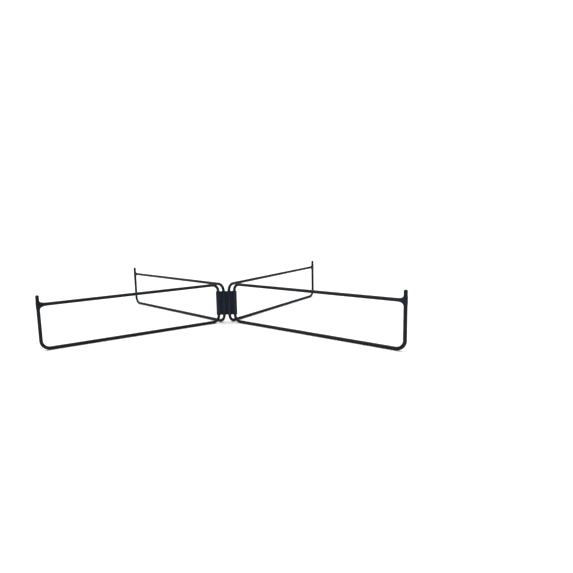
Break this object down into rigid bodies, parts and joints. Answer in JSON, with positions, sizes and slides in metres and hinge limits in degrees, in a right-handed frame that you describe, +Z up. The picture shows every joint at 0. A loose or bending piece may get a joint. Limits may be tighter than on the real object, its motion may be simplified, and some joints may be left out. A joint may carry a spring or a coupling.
{
  "type": "sign stand",
  "caption": "Folding low wire stand: flat wire leg frames turn on a central hub of tubes and carry a sign on upturned corner pegs.",
  "frame": {"origin": "on the surface that the stand rests on, under the middle of the row of hub tubes", "axes": "+Z up, +Y towards the rear legs, +X to the right along the row of hub tubes"},
  "size_m": [0.4947, 0.3971, 0.0805],
  "materials": {
    "coated_wire": "black powder coat, satin, on bent round steel wire",
    "coated_tube": "black powder coat, satin, on steel tube",
    "coated_weld": "black powder coat, satin, over weld beads"
  },
  "bodies": {
    "hub": {"hub_tube_front_left": "coated_tube", "hub_tube_front_right": "coated_tube", "hub_tube_rear_left": "coated_tube", "hub_tube_rear_right": "coated_tube", "hub_weld_left": "coated_weld", "hub_weld_middle": "coated_weld", "hub_weld_right": "coated_weld"},
    "front_left_leg": {"front_left_frame": "coated_wire", "front_left_corner_weld": "coated_weld"},
    "rear_left_leg": {"rear_left_frame": "coated_wire", "rear_left_corner_weld": "coated_weld"},
    "rear_right_leg": {"rear_right_frame": "coated_wire", "rear_right_corner_weld": "coated_weld"},
    "front_right_leg": {"front_right_frame": "coated_wire", "front_right_corner_weld": "coated_weld"}
  },
  "joints": [
    {"name": "rear_right_hinge", "type": "hinge", "parent": "hub", "child": "rear_right_leg", "pos_m": [0.00465, 0, 0.0345], "axis": [0, 0, 1], "range_deg": [-8, 41.5]},
    {"name": "rear_left_hinge", "type": "hinge", "parent": "hub", "child": "rear_left_leg", "pos_m": [-0.00465, 0, 0.0345], "axis": [0, 0, -1], "range_deg": [-8, 45]},
    {"name": "front_right_hinge", "type": "hinge", "parent": "hub", "child": "front_right_leg", "pos_m": [0.01395, 0, 0.0345], "axis": [0, 0, 1], "range_deg": [-25.17, 130.51]},
    {"name": "front_left_hinge", "type": "hinge", "parent": "hub", "child": "front_left_leg", "pos_m": [-0.01395, 0, 0.0345], "axis": [0, 0, -1], "range_deg": [-20.9, 117.51]}
  ],
  "couplings": [
    {"joint": "front_left_hinge", "follows": "rear_left_hinge", "ratio": 2.6111},
    {"joint": "front_right_hinge", "follows": "rear_right_hinge", "ratio": 3.1446}
  ]
}
